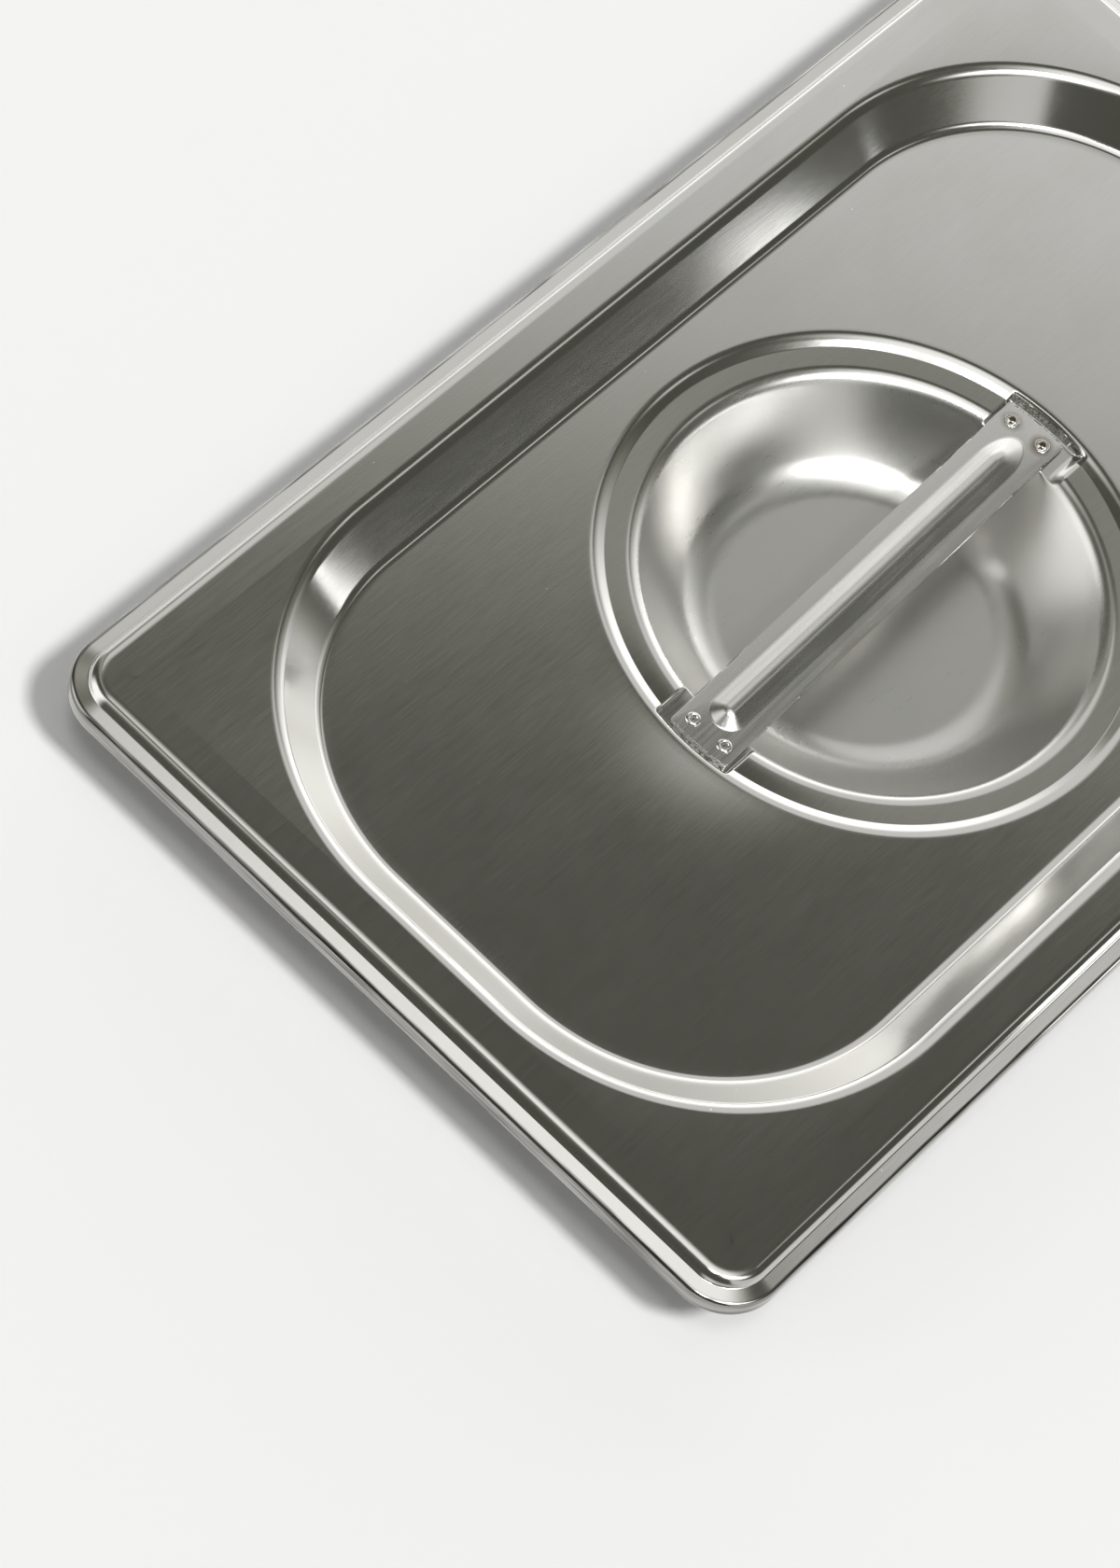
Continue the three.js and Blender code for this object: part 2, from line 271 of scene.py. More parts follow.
def rounded_rectangle(half_length, half_width, radius):
    centre_x = half_length - radius
    centre_y = half_width - radius
    end = [(half_length, y) for y in np.linspace(0, centre_y, END_POINTS, endpoint=False)]
    turns = np.radians(np.linspace(0, 90, ARC_POINTS, endpoint=False))
    corner = [(centre_x + radius * math.cos(t), centre_y + radius * math.sin(t)) for t in turns]
    side = [(x, half_width) for x in np.linspace(centre_x, 0, SIDE_POINTS)]
    return whole_loop(end + corner + side)


def ring_loop(radius):
    columns = SEAT_COLUMNS * min(1.0, radius / (2 * SEAT_COLUMNS[-1]))
    near_seat = np.arcsin(columns / radius)
    around = np.linspace(near_seat[-1], math.pi / 2, ARC_POINTS + SIDE_POINTS + 1)[1:]
    turns = np.concatenate((near_seat, around))
    return whole_loop(radius * np.stack((np.cos(turns), np.sin(turns)), 1))


def at_height(loop, height):
    return np.column_stack((loop, np.full(len(loop), height)))


def lid_loop(inset, height, corner):
    """The lid's outline moved in, at a height and with its own corner radius."""
    return at_height(rounded_rectangle(LENGTH / 2 - inset, WIDTH / 2 - inset, corner), height)


rim_loops = [lid_loop(a, h, CORNER_RADIUS - a) for a, h in rim]
recess_loops = [lid_loop(a, h, recess_corner + recess_start - a) for a, h in recess]
bowl_loops = [at_height(ring_loop(ring_radius - a), h) for a, h in bowl]
panel_loops = [(1 - share) * recess_loops[-1] + share * bowl_loops[0] for share in PANEL_SHARES]
floor_loops = [at_height(ring_loop(floor_radius * share), SHEET) for share in FLOOR_SHARES]
loops = np.array(rim_loops[:-1] + recess_loops + panel_loops + bowl_loops + floor_loops)
print("loops and points in each:", loops.shape[:2])

# %% [markdown]
# ## Seats for the handle
#
# Where the strap's ends lie, two shallow pockets are pressed into the ring, so that the flat of the strap
# comes about level with the ring. A pocket is a soft-edged patch: inside it the sheet goes down to the seat's
# level, and over a short wall it comes back. Pressing the near pocket also pulled the panel just outside it
# down a little, and on bright metal that faint dish shows as a pale glow.

# %% Press the seats
SEAT_DEPTH = 1.2
SEAT_REACH = 1.3
SEAT_BACK_WALL = 1.0
# Half width of the flat seat and width of its side wall: near left, near right, far left, far right
SEAT_SIDES = {(-1, 1): (7.6, 0.9), (-1, -1): (8.3, 0.5), (1, 1): (8.8, 0.5), (1, -1): (6.6, 2.6)}
PULL_DEPTH = 0.36
PULL_REACH = 18.0
PULL_WIDTH = 18.0
PULL_FADE = 8.0

seat_top = annulus_top - SEAT_DEPTH
seat_radius = ring_radius - RING_RUN + SEAT_REACH
lip_radius = ring_radius - RING_RUN - ANNULUS_WIDTH


def soft_share(value):
    """0 below 0, 1 above 1, and a smooth change between."""
    t = np.clip(value, 0, 1)
    return t * t * (3 - 2 * t)


x, y, z = loops[..., 0], loops[..., 1], loops[..., 2]
from_centre = np.hypot(x, y)
outside_ring = np.clip((from_centre - ring_radius) / PULL_REACH, 0, 1)
past_lip = soft_share((from_centre - lip_radius) / PULL_FADE)
pull = (1 - outside_ring) ** 2 * np.exp(-((y / PULL_WIDTH) ** 2)) * past_lip
z -= PULL_DEPTH * pull * (x < 0)
in_seat = np.zeros_like(z)
for (end, side), (half_width, wall) in SEAT_SIDES.items():
    here = (end * x > 0) & (side * y >= 0) & (from_centre > floor_radius)
    beside = soft_share(1 - (side * y - half_width) / wall)
    behind = soft_share(1 - (from_centre - seat_radius) / SEAT_BACK_WALL)
    in_seat = np.where(here, beside * behind, in_seat)
z += in_seat * (np.minimum(z, seat_top) - z)
print("lowest seat height, mm:", round(float(z[(in_seat > 0.99) & (from_centre > lip_radius)].min()), 3))

# %% [markdown]
# ## The sheet
#
# The loops make only the upper face. Blender's Solidify modifier then gives the sheet its even thickness,
# downward, and a small Bevel rounds the cut edge of the skirt, the one place where the sheet really has a
# corner. The strap will be made in the same way.

# %% Make the lid shell
EDGE_ROUND = 0.12
EDGE_ANGLE = 60.0


def surface_mesh(name, rows):
    """A smooth mesh through rows of closed loops, in millimetres, with one face over the last loop."""
    count = rows.shape[1]
    faces = []
    for k in range(len(rows) - 1):
        for i in range(count):
            j = (i + 1) % count
            faces.append((k * count + i, k * count + j, (k + 1) * count + j, (k + 1) * count + i))
    faces.append(tuple((len(rows) - 1) * count + i for i in range(count)))
    mesh = bpy.data.meshes.new(name)
    mesh.from_pydata((rows.reshape(-1, 3) * MM).tolist(), [], faces)
    mesh.polygons.foreach_set("use_smooth", [True] * len(mesh.polygons))
    mesh.update()
    return mesh


def new_piece(name, mesh, node):
    """Puts a mesh in the scene in place of a node of the frame."""
    piece = bpy.data.objects.new(name, mesh)
    bpy.context.collection.objects.link(piece)
    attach(piece, "root")
    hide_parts(node)
    return piece


def thicken(piece, thickness, even, edge_steps):
    """Gives a surface its thickness, in millimetres, and rounds its cut edge in a few steps."""
    thick = piece.modifiers.new("sheet thickness", "SOLIDIFY")
    thick.thickness = thickness * MM
    thick.offset = -1.0
    thick.use_even_offset = even
    rounded = piece.modifiers.new("rounded cut edge", "BEVEL")
    rounded.width = EDGE_ROUND * MM
    rounded.segments = edge_steps
    rounded.limit_method = "ANGLE"
    rounded.angle_limit = math.radians(EDGE_ANGLE)


shell = new_piece("pressed_shell", surface_mesh("pressed_shell", loops), "lid_shell")
thicken(shell, SHEET, even=True, edge_steps=2)
print("faces on the upper side:", len(shell.data.polygons))

# %% [markdown]
# ## The strap handle
#
# The strap is a narrow flat bar with a rounded rib pressed up along its middle, which makes it stiff. It is
# made as the sheet was: loops that start at the straight outline, run in over the flat margin, climb the rib
# and meet along its crest. The strap's edges droop a little. The near end of the rib is round; towards the
# far end it fades out more slowly.

# %% Draw the strap's loops
HANDLE_SHEET = 1.0
HANDLE_END_GAP = 0.8
HANDLE_CORNER = 0.5
HANDLE_DROOP = 0.1
MARGIN_HOLD = 0.3
MARGIN_DROOP_SHARE = 0.8
RIB_SIDE_MARGIN = 2.7
RIB_END_MARGIN = 5.4
RIB_HEIGHT = 1.8
RIB_ROUNDNESS = 0.7
RIB_CREST_SHARE = 0.78
RIB_LAST_REACH = 0.05
RIB_FAR_STRETCH = 2.2
# A little under a full half circle, so that no two points of a loop fall together
RIB_END_ROUND = 0.9999

end_radius = seat_radius - HANDLE_END_GAP
rib_half = HANDLE_WIDTH / 2 - RIB_SIDE_MARGIN
rib_straight = end_radius - RIB_END_MARGIN - rib_half
far_straight = rib_straight + rib_half - rib_half * RIB_FAR_STRETCH
far_share = far_straight / rib_straight
strap_loops = []
for inset, droop in ((0.0, HANDLE_DROOP), (MARGIN_HOLD, MARGIN_DROOP_SHARE * HANDLE_DROOP)):
    outline = rounded_rectangle(end_radius - inset, HANDLE_WIDTH / 2 - inset, HANDLE_CORNER)
    outline[:, 0] *= np.sqrt(1 - (outline[:, 1] / end_radius) ** 2)
    strap_loops.append(at_height(outline, HANDLE_SHEET - droop))
# With a roundness of 1 the rib's bends would meet and leave no straight flank
rib_bends = RIB_ROUNDNESS * (rib_half ** 2 + RIB_HEIGHT ** 2) / (2 * RIB_HEIGHT)
rib_crest = RIB_CREST_SHARE * rib_bends
rib_fold = Fold(0.0, RIB_HEIGHT, 0.0)
rib_fold.step_down(rib_half, RIB_HEIGHT, rib_crest, rib_bends - rib_crest, cuts=4, turn=3.0)
for reach, rise in reversed(rib_fold.points):
    half = max(reach, RIB_LAST_REACH)
    outline = rounded_rectangle(rib_straight + half, half, half * RIB_END_ROUND)
    along = outline[:, 0]
    stretched = far_straight + (along - rib_straight) * RIB_FAR_STRETCH
    far_half = np.where(along > 0, along * far_share, along)
    outline[:, 0] = np.where(along > rib_straight, stretched, far_half)
    strap_loops.append(at_height(outline, HANDLE_SHEET + rise))
print("strap length, mm:", round(2 * end_radius, 2), "rib width, mm:", round(2 * rib_half, 2))

# %% [markdown]
# The strap was welded on slightly askew and a little off the middle, and so it is placed.

# %% Make the strap
HANDLE_SKEW = 1.8
HANDLE_SHIFT = 0.5

strap_mesh = surface_mesh("handle_bar", np.array(strap_loops))
strap = new_piece("handle_bar", strap_mesh, "handle_strap")
strap.location = (0.0, HANDLE_SHIFT * MM, seat_top * MM)
strap.rotation_euler = (0.0, 0.0, math.radians(HANDLE_SKEW))
thicken(strap, HANDLE_SHEET - HANDLE_DROOP, even=False, edge_steps=3)
print("faces on the strap's upper side:", len(strap.data.polygons))

# %% [markdown]
# ## The plug welds
#
# Two welds at each end hold the strap. The near ones show as a shiny ring with a dark pit in the middle,
# where the electrode pressed; the far ones stayed small domes in a shallow dip. A profile turned about its
# own axis gives either shape.

# %% Make the welds
WELD_END_MARGIN = 3.5
WELD_SIDE_MARGIN = 2.95
WELD_SIDES = 32
# Each profile: radius and height above the strap, from the outside in
RING_PROFILE = ((1.5, -0.05), (1.44, 0.06), (1.3, 0.2), (1.1, 0.31), (0.92, 0.32), (0.78, 0.22),
                (0.68, 0.02), (0.6, -0.14), (0.44, -0.2), (0.3, -0.08), (0.15, 0.02), (0.03, 0.04))
DOME_PROFILE = ((1.5, -0.05), (1.4, 0.03), (1.25, 0.02), (1.1, -0.04), (0.98, 0.0), (0.88, 0.2),
                (0.7, 0.4), (0.48, 0.52), (0.34, 0.5), (0.22, 0.42), (0.12, 0.46), (0.03, 0.48))

weld_x = end_radius - WELD_END_MARGIN
weld_y = HANDLE_WIDTH / 2 - WELD_SIDE_MARGIN
weld_places = {
    "weld_near_left": (-weld_x, weld_y, RING_PROFILE),
    "weld_near_right": (-weld_x, -weld_y, RING_PROFILE),
    "weld_far_left": (weld_x, weld_y, DOME_PROFILE),
    "weld_far_right": (weld_x, -weld_y, DOME_PROFILE),
}
turns = np.linspace(0, 2 * math.pi, WELD_SIDES, endpoint=False)
circle = np.stack((np.cos(turns), np.sin(turns)), 1)
welds = []
for node, (along, across, profile) in weld_places.items():
    rings = np.array([at_height(radius * circle, height) for radius, height in profile])
    weld = new_piece(node.replace("weld", "plug"), surface_mesh(node, rings), node)
    place = Matrix.Rotation(math.radians(HANDLE_SKEW), 3, "Z") @ Vector((along, across, 0))
    weld.location = (place + Vector((0, HANDLE_SHIFT, seat_top + HANDLE_SHEET))) * MM
    welds.append(weld)
print("welds:", [w.name for w in welds])

# %% [markdown]
# ## Steel
#
# All the pieces are stainless steel, but each is finished in its own way. A finish is built from a few
# stretched noises: one long and narrow makes the grain that rolling and brushing leave, a slow one makes
# clouds. Both change the roughness, and the grain also bumps the surface by a few thousandths of a
# millimetre. The nodes work in metres, so a stretch of 2500 across means marks about 0.4 mm wide.

# %% Helpers for values and places
def feed(socket, value):
    """Gives a socket a number, or links another node's output to it."""
    if isinstance(value, (int, float)):
        socket.default_value = value
    else:
        socket.id_data.links.new(value, socket)


def math_node(tree_nodes, kind, *values):
    """A Math node; each value is a number or a socket to link."""
    node = tree_nodes.new("ShaderNodeMath")
    node.operation = kind
    for socket, value in zip(node.inputs, values):
        feed(socket, value)
    return node.outputs[0]


def vector_node(tree_nodes, kind, vector, *constants):
    """A Vector Math node on a linked vector and constant ones; gives its outputs."""
    node = tree_nodes.new("ShaderNodeVectorMath")
    node.operation = kind
    node.id_data.links.new(vector, node.inputs[0])
    for socket, constant in zip(list(node.inputs)[1:], constants):
        socket.default_value = constant
    return node.outputs


def soft_rise(tree_nodes, value, low, high):
    """Goes smoothly from 0 to 1 while the value goes from low to high."""
    node = tree_nodes.new("ShaderNodeMapRange")
    node.interpolation_type = "SMOOTHSTEP"
    node.inputs["From Min"].default_value = low
    node.inputs["From Max"].default_value = high
    node.id_data.links.new(value, node.inputs["Value"])
    return node.outputs["Result"]


def blend(tree_nodes, share, first, second):
    """Goes from the first value to the second as the share goes from 0 to 1."""
    node = tree_nodes.new("ShaderNodeMix")
    node.id_data.links.new(share, node.inputs["Factor"])
    feed(node.inputs["A"], first)
    feed(node.inputs["B"], second)
    return node.outputs["Result"]


def stretched_noise(tree_nodes, place, stretch, detail=2.0):
    """Noise between 0 and 1 whose marks are 1/stretch metres long, wide and high."""
    noise = tree_nodes.new("ShaderNodeTexNoise")
    noise.inputs["Scale"].default_value = 1.0
    noise.inputs["Detail"].default_value = detail
    scaled = vector_node(tree_nodes, "MULTIPLY", place, stretch)["Vector"]
    noise.id_data.links.new(scaled, noise.inputs["Vector"])
    return noise.outputs["Fac"]


def how_far(tree_nodes, place, centre=(0.0, 0.0)):
    """Distance from an upright axis, in metres."""
    flat = (1.0, 1.0, 0.0)
    back = (-centre[0], -centre[1], 0.0)
    moved = vector_node(tree_nodes, "MULTIPLY_ADD", place, flat, back)["Vector"]
    return vector_node(tree_nodes, "LENGTH", moved)["Value"]


def edge_distance(tree_nodes, place, half_length, half_width, corner):
    """Distance in from the lid's outline, a rounded rectangle; it stops growing one corner radius in."""
    # The whole metre in the third place takes the height out
    corner_centre = (half_length - corner, half_width - corner, 1.0)
    quadrant = vector_node(tree_nodes, "ABSOLUTE", place)["Vector"]
    past = vector_node(tree_nodes, "SUBTRACT", quadrant, corner_centre)["Vector"]
    past = vector_node(tree_nodes, "MAXIMUM", past, (0.0, 0.0, 0.0))["Vector"]
    return math_node(tree_nodes, "SUBTRACT", corner, vector_node(tree_nodes, "LENGTH", past)["Value"])


print("helpers for values and places are ready")

# %% [markdown]
# A finish starts as plain metal of one colour. On it go other colours, a bump and a roughness.

# %% Helpers for the finishes
def new_finish(name, colour):
    """A metal material; gives its nodes, its shader and the place on the piece in metres."""
    material = bpy.data.materials.new(name)
    material.use_nodes = True
    tree_nodes = material.node_tree.nodes
    shader = tree_nodes["Principled BSDF"]
    shader.inputs["Metallic"].default_value = 1.0
    shader.inputs["Base Color"].default_value = (*colour, 1.0)
    return material, tree_nodes, shader, tree_nodes.new("ShaderNodeTexCoord").outputs["Object"]


def tint(tree_nodes, shader, share, colour):
    """Lays another colour over the shader's colour where the share is 1."""
    node = tree_nodes.new("ShaderNodeMix")
    node.data_type = "RGBA"
    base = shader.inputs["Base Color"]
    if base.is_linked:
        node.id_data.links.new(base.links[0].from_socket, node.inputs["A"])
    else:
        node.inputs["A"].default_value = base.default_value
    node.inputs["B"].default_value = (*colour, 1.0)
    node.id_data.links.new(share, node.inputs["Factor"])
    node.id_data.links.new(node.outputs["Result"], base)


def bump(tree_nodes, shader, height, depth):
    """Raises the surface by depth metres where the height is 1."""
    node = tree_nodes.new("ShaderNodeBump")
    node.inputs["Strength"].default_value = 1.0
    node.inputs["Distance"].default_value = depth
    node.id_data.links.new(height, node.inputs["Height"])
    node.id_data.links.new(node.outputs["Normal"], shader.inputs["Normal"])


def roughen(tree_nodes, shader, base, *layers):
    """Roughness: a base plus, for each layer, a noise about its middle times an amount."""
    total = base
    for noise, amount in layers:
        swing = math_node(tree_nodes, "MULTIPLY", math_node(tree_nodes, "SUBTRACT", noise, 0.5), amount)
        total = math_node(tree_nodes, "ADD", swing, total)
    shader.id_data.links.new(total, shader.inputs["Roughness"])


def opposite(tree_nodes, share):
    return math_node(tree_nodes, "SUBTRACT", 1.0, share)


print("helpers for the finishes are ready")

# %% [markdown]
# The pressed sheet is satin with its grain along the lid. In the bowl the drawing has stretched the sheet,
# and there the grain gives way to a duller surface with a fine pebble. The skirt is painted darker all along,
# a painted shade for the shaded table that it reflects, and it has dark streaks along it. A few grains of dust
# lie about.

# %% Finish the sheet
SHEET_COLOUR = (0.60, 0.597, 0.577)
CLOUD_COLOUR = (0.585, 0.578, 0.553)
# Colour of the skirt's painted shade, which stands in for the shaded table that the skirt reflects
SKIRT_PAINTED_SHADE = (0.36, 0.355, 0.335)
STREAK_COLOUR = (0.19, 0.185, 0.17)
DUST_COLOUR = (0.86, 0.85, 0.82)
SHEET_ROUGHNESS = 0.13
BOWL_ROUGHNESS = 0.29
GRAIN_DEPTH = 1.3e-6
# Distances in metres between which one finish gives way to the next
BOWL_BORDER = (0.0462, 0.0425)
SKIRT_BORDER = (0.0007, 0.0010)
# How strongly the skirt's painted shade is laid on
SKIRT_SHADE_SHARE = 0.55
# Dust: cells to the metre, size of a speck in its cell, and the random value above which a cell has one
DUST_CELLS = 210.0
DUST_SIZE = 0.032
DUST_ABOVE = 0.86

sheet_finish, parts, shader, place = new_finish("satin_sheet", SHEET_COLOUR)
grain = stretched_noise(parts, place, (160, 3000, 3000))
long_grain = stretched_noise(parts, place, (25, 900, 900), 1.0)
fine_pits = stretched_noise(parts, place, (2600, 3600, 3600), 1.0)
clouds = stretched_noise(parts, place, (45, 70, 70), 3.0)
pebble = stretched_noise(parts, place, (1500, 1500, 1500), 1.0)
inward = math_node(parts, "MULTIPLY", how_far(parts, place), -1.0)
in_bowl = soft_rise(parts, inward, -BOWL_BORDER[0], -BOWL_BORDER[1])
sheet_base = blend(parts, in_bowl, SHEET_ROUGHNESS, BOWL_ROUGHNESS)
roughen(parts, shader, sheet_base, (grain, 0.06), (long_grain, 0.02), (clouds, 0.04))
grooves = math_node(parts, "ADD", grain, math_node(parts, "MULTIPLY", fine_pits, 0.8))
grooves = math_node(parts, "ADD", grooves, math_node(parts, "MULTIPLY", long_grain, 0.5))
bump(parts, shader, blend(parts, in_bowl, grooves, pebble), GRAIN_DEPTH)
tint(parts, shader, soft_rise(parts, clouds, 0.35, 0.75), CLOUD_COLOUR)

from_edge = edge_distance(parts, place, LENGTH * MM / 2, WIDTH * MM / 2, CORNER_RADIUS * MM)
on_skirt = opposite(parts, soft_rise(parts, from_edge, *SKIRT_BORDER))
streaks = stretched_noise(parts, place, (60, 60, 2400))
dull = math_node(parts, "MULTIPLY", on_skirt, soft_rise(parts, streaks, 0.38, 0.66))
# Painted shade: the skirt is darkened as if it reflected the shaded table
tint(parts, shader, math_node(parts, "MULTIPLY", on_skirt, SKIRT_SHADE_SHARE), SKIRT_PAINTED_SHADE)
tint(parts, shader, dull, STREAK_COLOUR)

dust_cells = parts.new("ShaderNodeTexVoronoi")
dust_cells.inputs["Scale"].default_value = DUST_CELLS
dust_cells.id_data.links.new(place, dust_cells.inputs["Vector"])
chosen = parts.new("ShaderNodeSeparateColor")
chosen.id_data.links.new(dust_cells.outputs["Color"], chosen.inputs["Color"])
has_speck = math_node(parts, "GREATER_THAN", chosen.outputs["Red"], DUST_ABOVE)
speck = math_node(parts, "LESS_THAN", dust_cells.outputs["Distance"], DUST_SIZE)
tint(parts, shader, math_node(parts, "MULTIPLY", speck, has_speck), DUST_COLOUR)
shell.data.materials.append(sheet_finish)
print("nodes in the sheet's finish:", len(parts))

# %% [markdown]
# The strap was brushed along its length after it was pressed, more coarsely than the sheet. Around the far
# welds the heat has left brown stains with a ragged edge.

# %% Finish the strap
STRAP_COLOUR = (0.61, 0.605, 0.585)
STAIN_COLOUR = (0.27, 0.235, 0.19)
STRAP_ROUGHNESS = 0.25
BRUSH_DEPTH = 1.6e-6
# In metres: where a stain starts to fade and where it ends, and how far its edge wanders
STAIN_BORDER = (0.0020, 0.0040)
STAIN_WANDER = 0.0024

strap_finish, parts, shader, place = new_finish("brushed_strap", STRAP_COLOUR)
brushing = stretched_noise(parts, place, (55, 5200, 5200))
strokes = stretched_noise(parts, place, (22, 1300, 1300), 1.0)
clouds = stretched_noise(parts, place, (110, 160, 160), 3.0)
roughen(parts, shader, STRAP_ROUGHNESS, (brushing, 0.12), (strokes, 0.10), (clouds, 0.06))
bump(parts, shader, math_node(parts, "ADD", brushing, strokes), BRUSH_DEPTH)
for side in (1, -1):
    distance = how_far(parts, place, (weld_x * MM, side * weld_y * MM))
    ragged = math_node(parts, "ADD", distance, math_node(parts, "MULTIPLY", clouds, STAIN_WANDER))
    tint(parts, shader, opposite(parts, soft_rise(parts, ragged, *STAIN_BORDER)), STAIN_COLOUR)
strap.data.materials.append(strap_finish)
print("nodes in the strap's finish:", len(parts))

# %% [markdown]
# Weld metal set while it was hot: its skin is wavy, and the middle of each weld is painted dark brown.

# %% Finish the welds
WELD_COLOUR = (0.66, 0.65, 0.62)
PIT_COLOUR = (0.10, 0.07, 0.045)
WELD_ROUGHNESS = 0.2
SKIN_DEPTH = 3.0e-5
PIT_BORDER = (0.00045, 0.0008)

weld_finish, parts, shader, place = new_finish("weld_metal", WELD_COLOUR)
skin = stretched_noise(parts, place, (1900, 1900, 1900))
roughen(parts, shader, WELD_ROUGHNESS, (skin, 0.2))
bump(parts, shader, skin, SKIN_DEPTH)
# The middle of each weld is painted dark brown
tint(parts, shader, opposite(parts, soft_rise(parts, how_far(parts, place), *PIT_BORDER)), PIT_COLOUR)
for weld in welds:
    weld.data.materials.append(weld_finish)
print("nodes in the welds' finish:", len(parts))

# %% [markdown]
# ## Table
#
# The lid lies on a plain white table. A very large square does, because the camera looks down and sees
# nothing else behind the lid. The paint has no gloss, so the table keeps the lid's soft shadow and nothing
# more.

# %% Lay the table
TABLE_REACH = 3.0
TABLE_WHITE = 0.88

corners = [(TABLE_REACH * x, TABLE_REACH * y, 0.0) for x, y in ((-1, -1), (1, -1), (1, 1), (-1, 1))]
table_mesh = bpy.data.meshes.new("table")
table_mesh.from_pydata(corners, [], [(0, 1, 2, 3)])
table = bpy.data.objects.new("table", table_mesh)
bpy.context.collection.objects.link(table)
table_paint = bpy.data.materials.new("table_white")
table_paint.use_nodes = True
table_shader = table_paint.node_tree.nodes["Principled BSDF"]
table_shader.inputs["Base Color"].default_value = (TABLE_WHITE, TABLE_WHITE, TABLE_WHITE, 1.0)
table_shader.inputs["Roughness"].default_value = 1.0
table_shader.inputs["Specular IOR Level"].default_value = 0.0
table_mesh.materials.append(table_paint)
print("table colour:", TABLE_WHITE)

# %% [markdown]
# ## Studio
#
# Bright metal shows its surroundings more than itself, so the surroundings are designed as carefully as the
# lid. The world is a dim grey room with a few soft white panels in it. A panel is a window in compass
# direction and in height above the horizon, both with blurred borders. Where panels overlap, the brighter
# one counts. The dim parts of the room are a little yellow. On matt things such as the table the room gives
# only part of its light, because the lamps that follow give the rest.

# %% Hang the panels
ROOM_GREY = 0.095
DIFFUSE_SHARE = 0.50
DIM_COLOUR = (1.0, 1.0, 0.84, 1.0)
BRIGHT_COLOUR = (1.0, 0.997, 0.985, 1.0)
# Brightness at which the dim colour starts to give way and at which only the bright one is left
COLOUR_BORDER = (0.1, 0.8)
HALF_TURN = 180
# Each panel: compass direction, half width, lower and upper border, blur (degrees), lean, brightness
PANELS = {
    "window": (29, 28, -40, 55.4, 7.4, 0.10, 0.80),
    "lower window": (26, 39.5, -40, 25, 40, -0.17, 2.2),
    "gap fill": (-10, 15, -40, 20.6, 27, -0.5, 1.5),
    "low right": (-44, 79, -40, -1, 5, -0.66, 0.69),
    "front low": (-111, 63, -40, -2.5, 25, -0.13, 3.0),
    "key box": (-108, 27, 52, 66, 20, -0.22, 4.2),
    "overhead": (0, 210, 73, 125, 14, 0.0, 1.25),
    "back wall": (131, 22, -40, 51, 20, 0.5, 1.54),
    "left strip": (69, 5.2, -40, 125, 29.5, -0.25, 0.49),
    "right slot": (-27, 7, 51, 59, 5, 0.0, 0.8),
}

world = bpy.data.worlds.new("studio")
bpy.context.scene.world = world
world.use_nodes = True
nodes = world.node_tree.nodes
wire = world.node_tree.links.new

direction = nodes.new("ShaderNodeSeparateXYZ")
wire(nodes.new("ShaderNodeTexCoord").outputs["Generated"], direction.inputs["Vector"])
around = math_node(nodes, "ARCTAN2", direction.outputs["Y"], direction.outputs["X"])
compass = math_node(nodes, "DEGREES", around)
height_angle = math_node(nodes, "DEGREES", math_node(nodes, "ARCSINE", direction.outputs["Z"]))
light = None
for towards, half_width, low, high, blur, lean, brightness in PANELS.values():
    turn = math_node(nodes, "WRAP", math_node(nodes, "SUBTRACT", compass, towards), HALF_TURN, -HALF_TURN)
    level = math_node(nodes, "SUBTRACT", height_angle, math_node(nodes, "MULTIPLY", turn, lean))
    inside = math_node(nodes, "SUBTRACT", half_width, math_node(nodes, "ABSOLUTE", turn))
    across = soft_rise(nodes, inside, -blur / 2, blur / 2)
    above = soft_rise(nodes, level, low - blur / 2, low + blur / 2)
    below = soft_rise(nodes, math_node(nodes, "SUBTRACT", high, level), -blur / 2, blur / 2)
    patch = math_node(nodes, "MULTIPLY", math_node(nodes, "MULTIPLY", above, below), across)
    patch = math_node(nodes, "MULTIPLY", patch, brightness)
    light = patch if light is None else math_node(nodes, "MAXIMUM", light, patch)
light = math_node(nodes, "ADD", light, ROOM_GREY)
is_diffuse = nodes.new("ShaderNodeLightPath").outputs["Is Diffuse Ray"]
held_back = math_node(nodes, "MULTIPLY", is_diffuse, 1.0 - DIFFUSE_SHARE)
strength = math_node(nodes, "MULTIPLY", light, opposite(nodes, held_back))
wire(strength, nodes["Background"].inputs["Strength"])
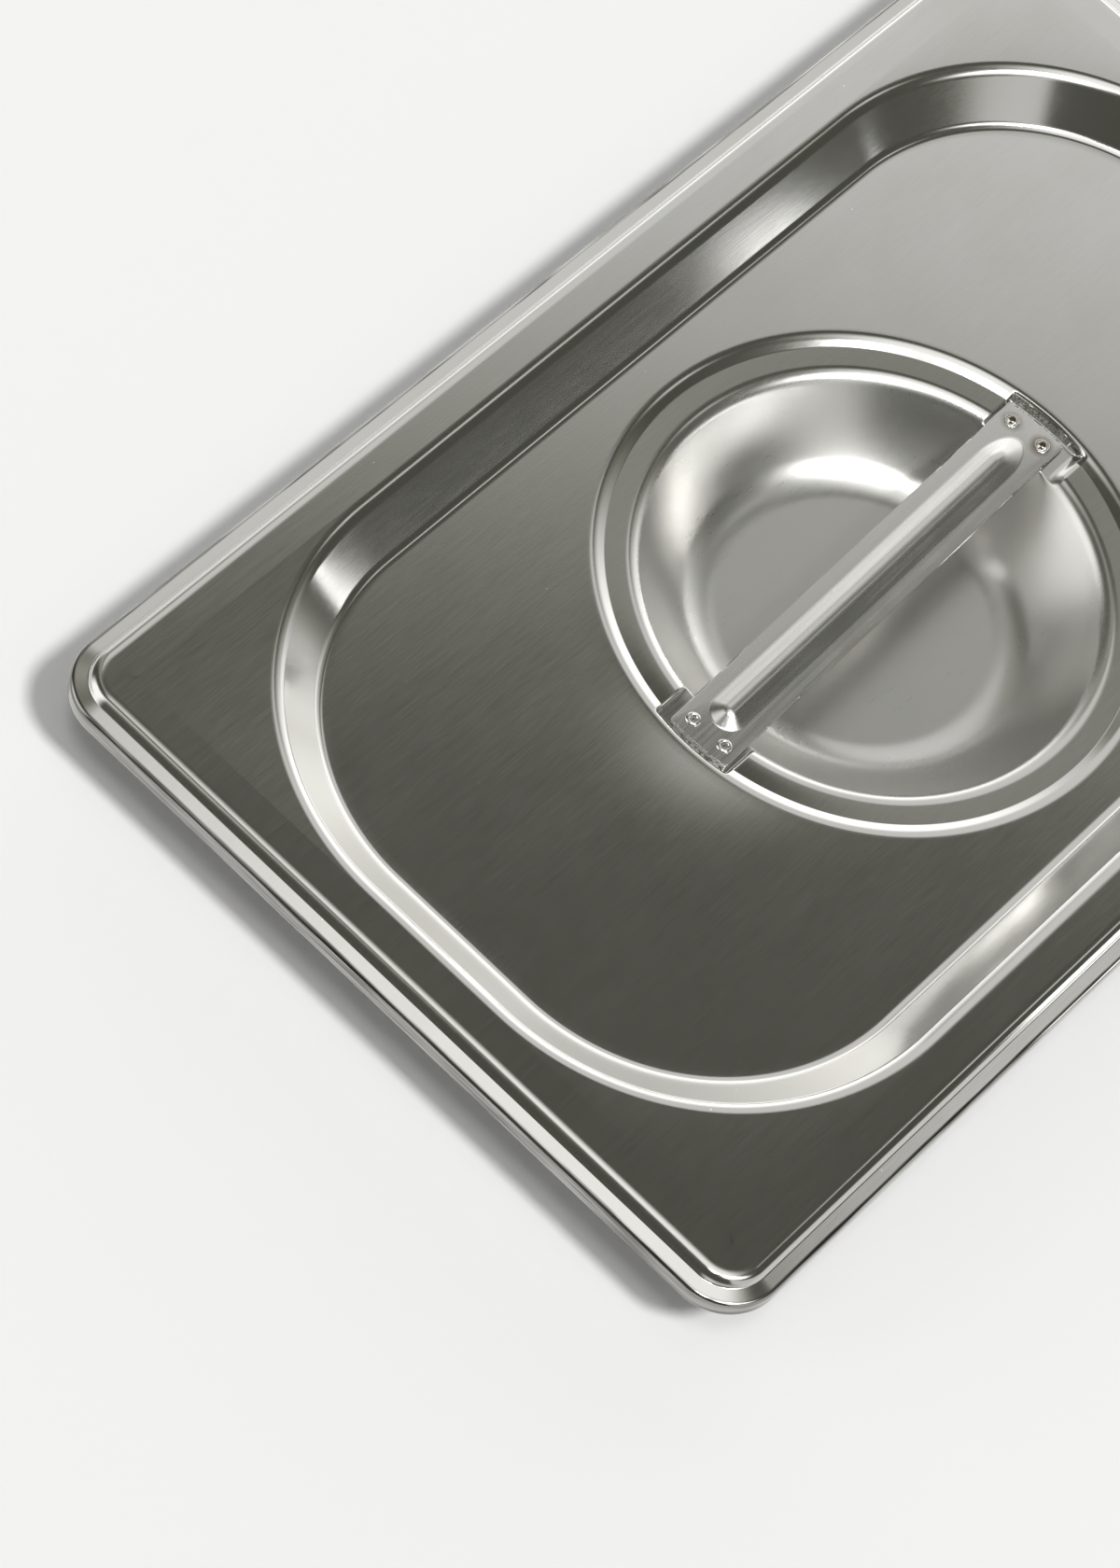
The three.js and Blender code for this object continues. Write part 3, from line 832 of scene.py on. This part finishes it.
light_colour = nodes.new("ShaderNodeMix")
light_colour.data_type = "RGBA"
light_colour.inputs["A"].default_value = DIM_COLOUR
light_colour.inputs["B"].default_value = BRIGHT_COLOUR
wire(soft_rise(nodes, light, *COLOUR_BORDER), light_colour.inputs["Factor"])
wire(light_colour.outputs["Result"], nodes["Background"].inputs["Color"])
print("panels:", list(PANELS))

# %% [markdown]
# Two lamps, as far off as the sun, light the table and give the lid its shadow. Two white cards stand upright
# on the right of the lid. They show only as reflections, in the bowl above all: they are hidden from the
# camera and give no light to matt things. A card is as bright as a panel of the same number, so the power
# that it needs grows with its area.

# %% Set the lamps and the cards
# Each lamp: direction it comes from, angle it fills (degrees), strength
LAMPS = {
    "key": ((-0.121, -0.459, 1.0), 8.0, 1.93),
    "fill": ((-0.30, -0.10, 1.0), 10.0, 0.45),
}
# Each card: left and right end, lower and upper edge (metres), brightness
CARDS = {
    "side card": (0.03, 0.24, 0.0, 0.088, 1.9),
    "upper card": (0.218, 0.246, 0.070, 0.114, 2.4),
}
CARD_AWAY = 0.212

for name, (comes_from, spread, strength) in LAMPS.items():
    lamp_data = bpy.data.lights.new(name, "SUN")
    lamp_data.energy = strength
    lamp_data.angle = math.radians(spread)
    lamp = bpy.data.objects.new(name, lamp_data)
    lamp.rotation_euler = Vector(comes_from).to_track_quat("Z", "Y").to_euler()
    bpy.context.collection.objects.link(lamp)
for name, (left, right, low, high, brightness) in CARDS.items():
    card_data = bpy.data.lights.new(name, "AREA")
    card_data.shape = "RECTANGLE"
    card_data.size = right - left
    card_data.size_y = high - low
    card_data.energy = brightness * math.pi * card_data.size * card_data.size_y
    card = bpy.data.objects.new(name, card_data)
    card.location = ((left + right) / 2, -CARD_AWAY, (low + high) / 2)
    card.rotation_euler = (math.radians(90), 0.0, 0.0)
    card.visible_camera = False
    card.visible_diffuse = False
    bpy.context.collection.objects.link(card)
bpy.context.scene.view_settings.view_transform = "Standard"
print("lamps:", list(LAMPS), "cards:", list(CARDS))
